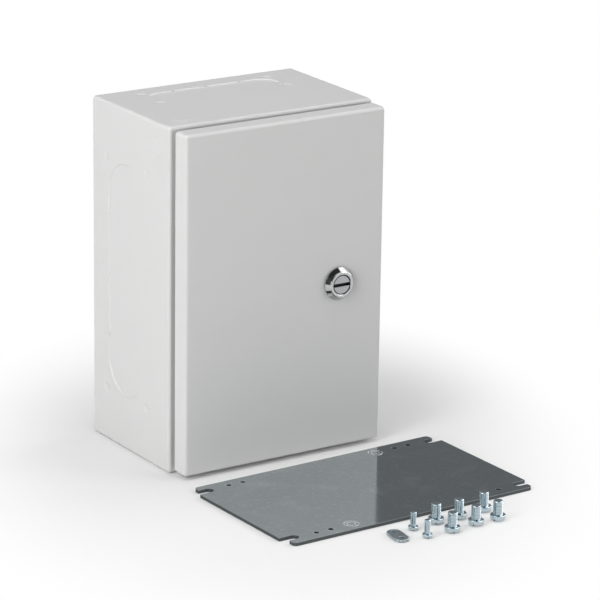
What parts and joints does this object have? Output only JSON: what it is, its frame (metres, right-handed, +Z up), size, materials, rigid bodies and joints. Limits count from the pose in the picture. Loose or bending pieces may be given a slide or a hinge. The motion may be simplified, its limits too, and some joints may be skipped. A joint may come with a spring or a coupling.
{
  "type": "steel wall enclosure",
  "caption": "Wall-mounted sheet steel enclosure with hinged door, quarter-turn lock, cable knock-outs, foam gasket, and a loose mounting plate with its screws.",
  "frame": {"origin": "centre of the body's underside, half-way between the rear panel and the front of the door", "axes": "+X to the right seen from the front, -Y out of the door, +Z up"},
  "size_m": [0.251, 0.365, 0.3007],
  "materials": {
    "grey_powder_coat": "satin, fine orange peel",
    "zinc_plate": "bright zinc plate",
    "lock_chrome": "polished",
    "lock_insert": "satin die-cast",
    "foam": "matt closed-cell foam",
    "galvanised_sheet": "galvanised, satin"
  },
  "bodies": {
    "enclosure": {"body_wrapper": "grey_powder_coat", "rear_panel": "grey_powder_coat", "plate_bosses": "zinc_plate", "body_earth_stud": "zinc_plate", "body_earth_washer": "zinc_plate", "body_earth_nut": "zinc_plate", "hinge_arm_upper": "zinc_plate", "hinge_arm_lower": "zinc_plate"},
    "door": {"door_panel": "grey_powder_coat", "door_gasket": "foam", "door_earth_stud": "zinc_plate", "door_earth_washer": "zinc_plate", "door_earth_nut": "zinc_plate", "hinge_bracket_upper": "zinc_plate", "hinge_bracket_lower": "zinc_plate", "hinge_pin_upper": "zinc_plate", "hinge_pin_lower": "zinc_plate", "lock_housing": "lock_chrome", "lock_seal": "foam", "lock_nut": "zinc_plate"},
    "lock_core": {"lock_insert": "lock_insert", "lock_cam": "zinc_plate", "cam_washer": "zinc_plate", "cam_screw": "zinc_plate"},
    "loose_plate": {"mounting_plate": "galvanised_sheet"},
    "loose_fixings": {"plate_screws": "zinc_plate", "small_screws": "zinc_plate", "nut_plate": "zinc_plate"}
  },
  "joints": [
    {"name": "door_swing", "type": "hinge", "parent": "enclosure", "child": "door", "pos_m": [-0.09175, -0.0635, 0.15], "axis": [0, 0, -1], "range_deg": [0, 120]},
    {"name": "lock_turn", "type": "hinge", "parent": "door", "child": "lock_core", "pos_m": [0.053, -0.075, 0.15], "axis": [0, 1, 0], "range_deg": [0, 90]},
    {"name": "plate_lift", "type": "slide", "parent": "enclosure", "child": "loose_plate", "axis": [0, 0, 1], "range_m": [0, 0.32]},
    {"name": "fixings_lift", "type": "slide", "parent": "enclosure", "child": "loose_fixings", "axis": [0, 0, 1], "range_m": [0, 0.1]}
  ]
}
